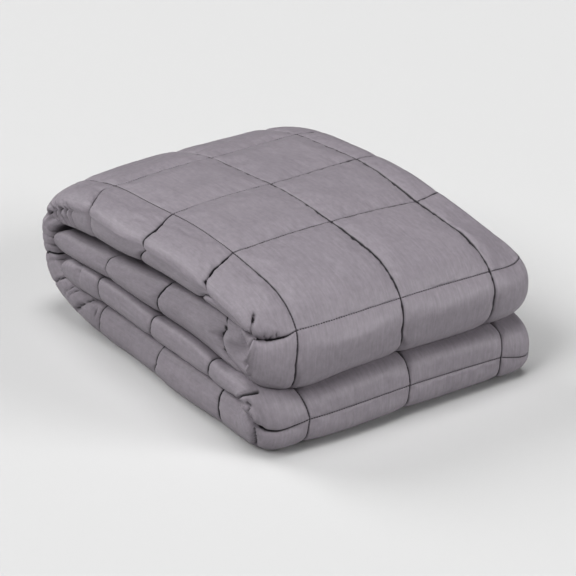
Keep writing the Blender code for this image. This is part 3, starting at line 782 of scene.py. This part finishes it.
# -------- the whole skin
def round_left(v, outer_cols):
    """Which columns are on the outer face, the distance of each point round the left fold from its
    outermost line, and the same with a minus on the inner face."""
    is_outer = (np.arange(v.shape[1]) < outer_cols)[None, :]
    from_left = np.abs(v - v[:, :1])
    return is_outer, from_left, np.where(is_outer, from_left, -from_left)


def skin():
    """Every point of the skin in rows along the path and columns round the layer, the rows' places,
    the distances across the cloth, and the number of columns on the outer face."""
    s = mesh_rows()
    sample = lambda S, face, k: np.interp(S, LENGTH, face[:, k])
    half_row = np.column_stack([sample(s, OUTER, k) - sample(s, INNER, k) for k in (0, 1)]) / 2
    to_end = np.clip(1 - np.minimum(s, TOTAL - s) / END_ROUND, 0, 1)
    taper = np.maximum(np.sqrt(1 - to_end ** 2), END_THICK)
    half_thick = np.linalg.norm(half_row, axis=1) * taper
    side = {key: smooth_at(s, SIDES, key) for keys in SECTION_KEYS.values() for key in keys}

    halves, weights = {}, {}
    samplings = {"outer": (LEFT_SHARES, COLUMNS, RIGHT_SHARES), "inner": (HIDDEN_LEFT, HIDDEN, HIDDEN_RIGHT)}
    for face, shares in samplings.items():
        sections = zip(*(side[key] for key in SECTION_KEYS[face]), half_thick)
        rows = [half_columns(section, *shares) for section in sections]
        halves[face] = [np.array(part) for part in zip(*rows)]
        full, fade = np.ones(len(shares[0]) + len(shares[1])), np.linspace(1.0, TIP_RELIEF, len(shares[2]))
        weights[face] = np.concatenate([full, fade, np.zeros(len(OPENING_SHARES))])

    def loop(k, flip=1.0):
        return np.concatenate([halves["outer"][k], flip * halves["inner"][k][:, :0:-1]], axis=1)

    x, t, v = loop(0), loop(1, -1.0), loop(2)
    outer_cols = halves["outer"][0].shape[1]
    is_outer, from_left, from_fold = round_left(v, outer_cols)
    S = np.clip(s[:, None] + lag(s, v) + left_lag(s, from_fold), 0, TOTAL)
    oy, oz, iy, iz = (sample(S, face, k) for face in (OUTER, INNER) for k in (0, 1))
    reach = t * taper[:, None]
    p = np.stack([x, (oy + iy) / 2 + reach * (oy - iy) / 2, (oz + iz) / 2 + reach * (oz - iz) / 2], axis=2)
    fall_of_top(p, s, x, t)
    draw_rolls_back(p, s, x, t)
    settle_left(p)
    stand_aside(p, s, v)

    inward = np.cross(np.roll(p, -1, axis=1) - np.roll(p, 1, axis=1), np.gradient(p, axis=0))
    inward /= np.linalg.norm(inward, axis=2, keepdims=True) + 1e-12
    centre = len(LEFT_SHARES) + len(COLUMNS) // 2
    if inward[np.argmax(p[:, centre, 2]), centre, 2] > 0:
        inward = -inward

    seen = share_along(s, SEEN)
    stand = np.maximum(np.where(is_outer, seen, 0.0), bell(from_left, FOLD_REACH))
    crown = np.where(is_outer, CROWN * seen, 0.0)
    sink = (1 - stand) * (PUFF + VALLEY + GROOVE + crown) - relief(s, v, from_left, crown)
    sink = sink + pinch_depth(s, from_left) + crease_depth(s, from_fold)
    sink = sink - np.where(is_outer, swell(s, v), 0)
    weight = np.concatenate([weights["outer"], weights["inner"][:0:-1]])
    sink = np.minimum(sink, SINK_SHARE * half_thick[:, None] + SINK_LEAST) * weight
    p += inward * sink[:, :, None]
    uneven(p)
    p[:, :, 2] = np.maximum(p[:, :, 2], 0.0)
    return p, s, v, outer_cols


def link(name, mesh):
    ob = bpy.data.objects.new(name, mesh)
    bpy.context.scene.collection.objects.link(ob)
    return ob


def blanket_object():
    p, s, v, outer_cols = skin()
    p = (p - np.array([*MIDDLE, 0.0])) * SQUARE
    rows, loop = v.shape
    idx = np.arange(rows * loop).reshape(rows, loop)
    nxt = np.roll(idx, -1, axis=1)
    quads = np.stack([idx[:-1], nxt[:-1], nxt[1:], idx[1:]], axis=2).reshape(-1, 4)
    faces = quads.tolist() + [list(reversed(idx[0].tolist())), idx[-1].tolist()]
    mesh = bpy.data.meshes.new("quilted_blanket")
    mesh.from_pydata(p.reshape(-1, 3).tolist(), [], faces)
    mesh.shade_smooth()
    corners = np.zeros(len(mesh.loops), int)
    mesh.loops.foreach_get("vertex_index", corners)
    on_cloth = np.column_stack([np.repeat(s, loop), v.reshape(-1)]) * SQUARE
    mesh.uv_layers.new(name="cloth").data.foreach_set("uv", on_cloth[corners].reshape(-1))
    # painted shade: the seams' grooves, with the thread's own darker colour, and the creases' bottoms, kept
    # as a point attribute that darkens the cloth's colour
    shade_marks = mesh.attributes.new("sewn", "FLOAT", "POINT")
    from_fold = round_left(v, outer_cols)[2]
    shade_marks.data.foreach_set("value", np.maximum(seam_thread_and_shade(s, v), crease_painted_shade(s, from_fold)).reshape(-1))
    ob = link("quilted_blanket", mesh)
    buckle(ob, p, s, v, outer_cols)
    return ob, s, v, outer_cols


# -------- cloth simulation
CLOTH = dict(
    quality=4,
    mass=.3,
    tension_stiffness=20,
    compression_stiffness=20,
    shear_stiffness=8,
    bending_stiffness=.5,
    tension_damping=8,
    compression_damping=8,
    shear_damping=8,
    bending_damping=.5,
    air_damping=2,
    pin_stiffness=1,
    shrink_min=-EXCESS,
    shrink_max=0,
    use_pressure=True,
    uniform_pressure_force=.3,
)


def cloth_weights(s, v, outer_cols):
    """Where the cloth is held, and where it is cut a little too large, each 0 to 1."""
    crosswise, lengthwise = seams(s, v)
    near = np.minimum(crosswise["off"], lengthwise["off"])
    is_outer, from_left = round_left(v, outer_cols)[:2]
    round_fold = np.clip(LOOSE_END - from_left / LOOSE_FALL, 0, 1)
    free = np.maximum(np.where(is_outer, share_along(s, LOOSE), 0.0), round_fold)
    free = np.where(v > STIFF_BEYOND, 0, free) * (near > HELD)
    return 1 - free * (1 - LOOSEST_HOLD), 1 - beside(near, GATHER_WIDTH)


def weight_group(ob, name, weights, digits):
    group = ob.vertex_groups.new(name=name)
    weights = np.round(weights.reshape(-1), digits)
    for level in np.unique(weights):
        group.add(np.nonzero(weights == level)[0].tolist(), float(level), "REPLACE")
    return group.name


def buckle(ob, p, s, v, outer_cols):
    """Blender's cloth: held at the sewn lines, a little too large between them and pressed out
    by the filling.  What it settles to is kept in the mesh, and the modifier goes."""
    hold, gather = cloth_weights(s, v, outer_cols)
    modifier = ob.modifiers.new("cloth", "CLOTH")
    cloth = modifier.settings
    cloth.vertex_group_mass = weight_group(ob, "hold", hold, 2)
    cloth.vertex_group_shrink = weight_group(ob, "gather", gather, 1)
    for name, value in CLOTH.items():
        setattr(cloth, name, value)
    cloth.effector_weights.gravity = 0
    modifier.collision_settings.use_collision = False
    modifier.collision_settings.use_self_collision = False
    scene = bpy.context.scene
    for span in (scene, modifier.point_cache):
        span.frame_start, span.frame_end = 1, CLOTH_FRAMES
    for frame_number in range(1, CLOTH_FRAMES + 1):
        scene.frame_set(frame_number)
    settled = ob.evaluated_get(bpy.context.evaluated_depsgraph_get())
    found = np.zeros(p.size)
    settled.data.vertices.foreach_get("co", found)
    ob.modifiers.remove(modifier)
    scene.frame_set(1)
    flat = p.reshape(-1, 3)
    move = found.reshape(-1, 3) - flat
    size = np.linalg.norm(move, axis=1, keepdims=True)
    move *= np.minimum(FARTHEST / np.maximum(size, 1e-9), 1)
    ob.data.vertices.foreach_set("co", (flat + move).reshape(-1))
    ob.data.update()


# -------- sewn threads
def stitch_places(path, up):
    """Middles, directions and outward directions of the stitches along one sewn line."""
    steps = np.linalg.norm(np.diff(path, axis=0), axis=1)
    length = np.concatenate([[0.0], np.cumsum(steps)])
    at = np.arange(0.5 * STITCH_EVERY, length[-1], STITCH_EVERY)
    half = 0.5 * STITCH_LENGTH
    along = lambda where, points: np.column_stack([np.interp(where, length, points[:, k]) for k in range(3)])
    ahead = along(at + half, path) - along(at - half, path)
    return along(at, path), ahead / np.linalg.norm(ahead, axis=1, keepdims=True), along(at, up)


def stitches(ob, s, v, outer_cols):
    """Every stitch of the lines in view, as one mesh of small spindles."""
    rows, loop = v.shape
    place, up = np.zeros(3 * rows * loop), np.zeros(3 * rows * loop)
    ob.data.vertices.foreach_get("co", place)
    ob.data.vertex_normals.foreach_get("vector", up)
    place, up = place.reshape(rows, loop, 3), up.reshape(rows, loop, 3)
    lines = []
    for thread in THREADS_ACROSS:
        k = int(np.argmin(np.abs(s - thread["at"])))
        keep = (v[k] >= thread["first"]) & (v[k] <= thread["last"]) & (np.arange(loop) < outer_cols)
        lines.append((place[k, keep], up[k, keep]))
    for across in SEWN_ACROSS:
        k = int(np.argmin(np.abs(v[0, :outer_cols] - across)))
        for thread in THREADS_ALONG:
            keep = (s >= thread["first"]) & (s <= thread["last"])
            lines.append((place[keep, k], up[keep, k]))
    middle, ahead, out = (np.concatenate(part) for part in zip(*(stitch_places(*line) for line in lines)))
    side = np.cross(ahead, out)
    side /= np.linalg.norm(side, axis=1, keepdims=True)
    out = np.cross(side, ahead)
    n, last = STITCH_SIDES, 2 * STITCH_SIDES + 1
    points = [middle - 0.5 * STITCH_LENGTH * ahead]
    for step in (-STITCH_SHOULDER, STITCH_SHOULDER):
        for k in range(n):
            a = 2 * math.pi * k / n
            spoke = STITCH_RADIUS * (math.cos(a) * side + math.sin(a) * out)
            points.append(middle + step * STITCH_LENGTH * ahead + spoke)
    points.append(middle + 0.5 * STITCH_LENGTH * ahead)
    points = np.stack(points, axis=1) + THREAD_RISE * out[:, None]
    faces = []
    for k in range(n):
        a, b = 1 + k, 1 + (k + 1) % n
        faces += [(0, b, a), (a, b, b + n), (a, b + n, a + n), (last, a + n, b + n)]
    faces = (np.array(faces)[None] + (last + 1) * np.arange(len(middle))[:, None, None]).reshape(-1, 3)
    mesh = bpy.data.meshes.new("sewn_threads")
    mesh.from_pydata(points.reshape(-1, 3).tolist(), [], faces.tolist())
    mesh.shade_smooth()
    return link("sewn_threads", mesh)


# -------- materials
def plain_material(name, looks):
    m = bpy.data.materials.new(name)
    m.use_nodes = True
    for socket, value in looks.items():
        m.node_tree.nodes["Principled BSDF"].inputs[socket].default_value = value
    return m


def feed(tree, socket, value):
    """Links a socket to another one, or sets it to a plain value."""
    if isinstance(value, bpy.types.NodeSocket):
        tree.links.new(value, socket)
    else:
        socket.default_value = value


def node(tree, kind, **inputs):
    made = tree.nodes.new(kind)
    for name, value in inputs.items():
        feed(tree, made.inputs[name.replace("_", " ")], value)
    return made


def maths(tree, operation, a, b):
    made = tree.nodes.new("ShaderNodeMath")
    made.operation = operation
    for socket, value in zip(made.inputs, (a, b)):
        feed(tree, socket, value)
    return made.outputs[0]


def share_of(tree, share, value):
    return maths(tree, "MULTIPLY", value, share)


def blend(tree, factor, a, b, mode="MIX"):
    made = tree.nodes.new("ShaderNodeMix")
    made.data_type = "RGBA"
    made.blend_type = mode
    for socket, value in zip((made.inputs[0], made.inputs[6], made.inputs[7]), (factor, a, b)):
        feed(tree, socket, value)
    return made.outputs[2]


# the cloth's textures, by cells a metre along and across the folded path
TEXTURES = table("name scale detail rough",
    ("slubs", (28, 420, 1), 4, .65),
    ("crosswise", (300, 24, 1), 3, .6),
    ("clouds", (9, 9, 1), 2, .5),
    ("weave", (900, 2600, 1), 1, .5),
    ("mottle", (130, 210, 1), 3, .65),
)
DARK_CLOTH = (.250, .229, .254, 1)
PALE_CLOTH = (.282, .257, .282, 1)
# painted shade colour for the seams' grooves and the creases' bottoms, darker than the thread itself
SEAM_AND_CREASE_SHADE = (.016, .013, .017, 1)
SHADE_FROM = .15  # how much of the painted seam and crease shade begins to darken the cloth
SHADE_TO = .85  # and how much darkens it fully
TONE = .63  # share of the cloth's colour that the textures leave
SLUB_TONE = .34
MOTTLE_TONE = .40
ROUGHNESS = .46
SLUB_ROUGHNESS = .16
GLOSS = .38
CROSSWISE_BUMP = .45
BUMP_STRENGTH = .35
SLUB_HEIGHT = .0005  # metres
WEAVE_HEIGHT = .0001
THREAD_LOOKS = {"Base Color": (.040, .034, .042, 1), "Roughness": .6}


def cotton():
    m = plain_material("mauve_grey_sateen", {"Specular IOR Level": GLOSS})
    tree = m.node_tree
    shader = tree.nodes["Principled BSDF"]
    where = tree.nodes.new("ShaderNodeUVMap")
    where.uv_map = "cloth"
    texture = {}
    for row in TEXTURES:
        stretched = node(tree, "ShaderNodeMapping", Vector=where.outputs[0], Scale=row["scale"])
        made = node(tree, "ShaderNodeTexNoise", Vector=stretched.outputs[0], Scale=1.0,
                    Detail=row["detail"], Roughness=row["rough"])
        texture[row["name"]] = made.outputs["Fac"]
    slubs = texture["slubs"]

    body = blend(tree, texture["clouds"], DARK_CLOTH, PALE_CLOTH)
    streaks = maths(tree, "ADD", share_of(tree, SLUB_TONE, slubs), TONE)
    streaks = maths(tree, "ADD", streaks, share_of(tree, MOTTLE_TONE, texture["mottle"]))
    body = blend(tree, 1.0, body, streaks, "MULTIPLY")
    # painted shade in the colour: the seams' grooves and the creases' bottoms are darkened to the painted
    # shade colour
    sewn = tree.nodes.new("ShaderNodeAttribute")
    sewn.attribute_name = "sewn"
    shade = node(tree, "ShaderNodeMapRange", Value=sewn.outputs["Fac"], From_Min=SHADE_FROM, From_Max=SHADE_TO)
    shade.interpolation_type = "SMOOTHSTEP"
    feed(tree, shader.inputs["Base Color"], blend(tree, shade.outputs["Result"], body, SEAM_AND_CREASE_SHADE))

    rough = maths(tree, "ADD", share_of(tree, SLUB_ROUGHNESS, slubs), ROUGHNESS)
    feed(tree, shader.inputs["Roughness"], rough)

    height = maths(tree, "ADD", slubs, share_of(tree, CROSSWISE_BUMP, texture["crosswise"]))
    bump = node(tree, "ShaderNodeBump", Strength=BUMP_STRENGTH, Distance=SLUB_HEIGHT, Height=height)
    fine = node(tree, "ShaderNodeBump", Strength=BUMP_STRENGTH, Distance=WEAVE_HEIGHT,
                Height=texture["weave"], Normal=bump.outputs[0])
    feed(tree, shader.inputs["Normal"], fine.outputs[0])
    return m


# -------- studio
FLOOR = 6  # metres from the middle to its edge
FLOOR_AT = -.0004
FLOOR_LOOKS = {"Base Color": (.58, .58, .58, 1), "Roughness": .9}
BACKDROP = 5.5  # radius in metres of the pale ring round the floor
BACKDROP_FOOT = -.1
BACKDROP_TOP = .7 * BACKDROP
BACKDROP_SIDES = 48
BACKDROP_LOOKS = {
    "Base Color": (0, 0, 0, 1),
    "Specular IOR Level": 0,
    "Emission Color": (1, 1, 1, 1),
    "Emission Strength": .72,
}
WORLD_LIGHT = .02


def studio_piece(name, corners, faces, looks):
    mesh = bpy.data.meshes.new(name)
    mesh.from_pydata(corners, [], faces)
    mesh.materials.append(plain_material("pale_" + name, looks))
    return link(name, mesh)


def studio():
    corners = [(x * FLOOR, y * FLOOR, FLOOR_AT) for x, y in ((-1, -1), (1, -1), (1, 1), (-1, 1))]
    floor = studio_piece("floor", corners, [(0, 1, 2, 3)], FLOOR_LOOKS)
    n = BACKDROP_SIDES
    angles = np.linspace(0, 2 * math.pi, n + 1)[:-1]
    ring = [(BACKDROP * math.cos(a), BACKDROP * math.sin(a)) for a in angles]
    corners = [(x, y, z) for z in (BACKDROP_FOOT, BACKDROP_TOP) for x, y in ring]
    sides = [(k, (k + 1) % n, n + (k + 1) % n, n + k) for k in range(n)]
    wall = studio_piece("backdrop", corners, sides, BACKDROP_LOOKS)
    wall.visible_diffuse = wall.visible_glossy = wall.visible_shadow = False
    world = bpy.data.worlds.new("studio")
    bpy.context.scene.world = world
    world.use_nodes = True
    background = world.node_tree.nodes["Background"]
    background.inputs["Color"].default_value = (1, 1, 1, 1)
    background.inputs["Strength"].default_value = WORLD_LIGHT


# the soft suns round the studio; angles in degrees, azimuth from x towards y
SUNS = table("name azimuth elevation strength",
    ("left", 188, 42, 1.65),
    ("front right", 308, 20, 1.55),
    ("back", 112, 36, 1.15),
    ("overhead", 0, 88, 1.20),
)
SUN_SPREAD = 30


def sun(name, azimuth, elevation, strength):
    data = bpy.data.lights.new(name, "SUN")
    data.energy = strength
    data.angle = math.radians(SUN_SPREAD)
    ob = link(name, data)
    a, e = math.radians(azimuth), math.radians(elevation)
    towards = Vector((math.cos(e) * math.cos(a), math.cos(e) * math.sin(a), math.sin(e)))
    ob.rotation_euler = towards.to_track_quat("Z", "Y").to_euler()


CAMERA_AT = (-8.337, -12.362, 7.185)  # in squares, from the fold's own zero
CAMERA_AZIMUTH = -34.66  # degrees, as is the elevation
CAMERA_ELEVATION = 24.30
CAMERA_LENS = 113.3  # millimetres, as is the sensor
CAMERA_SENSOR = 36
EXPOSURE = .34
GAMMA = .8


def camera():
    a, e = math.radians(CAMERA_AZIMUTH), math.radians(CAMERA_ELEVATION)
    back = Vector((math.sin(a) * math.cos(e), -math.cos(a) * math.cos(e), math.sin(e)))
    right = Vector((math.cos(a), math.sin(a), 0.0))
    up = back.cross(right)
    data = bpy.data.cameras.new("camera")
    data.lens = CAMERA_LENS
    data.sensor_width = CAMERA_SENSOR
    ob = link("camera", data)
    spot = [(c - m) * SQUARE for c, m in zip(CAMERA_AT, (*MIDDLE, 0.0))]
    ob.matrix_world = Matrix((
        (right.x, up.x, back.x, spot[0]),
        (right.y, up.y, back.y, spot[1]),
        (right.z, up.z, back.z, spot[2]),
        (0, 0, 0, 1)))
    bpy.context.scene.camera = ob


view = bpy.context.scene.view_settings
view.view_transform = "Standard"
view.exposure = EXPOSURE
view.gamma = GAMMA
blanket, *grid = blanket_object()
threads = stitches(blanket, *grid)
blanket.data.materials.append(cotton())
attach(blanket, "root")
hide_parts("blanket")
threads.data.materials.append(plain_material("mauve_grey_thread", THREAD_LOOKS))
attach(threads, "root")
studio()
for row in SUNS:
    sun(**row)
camera()
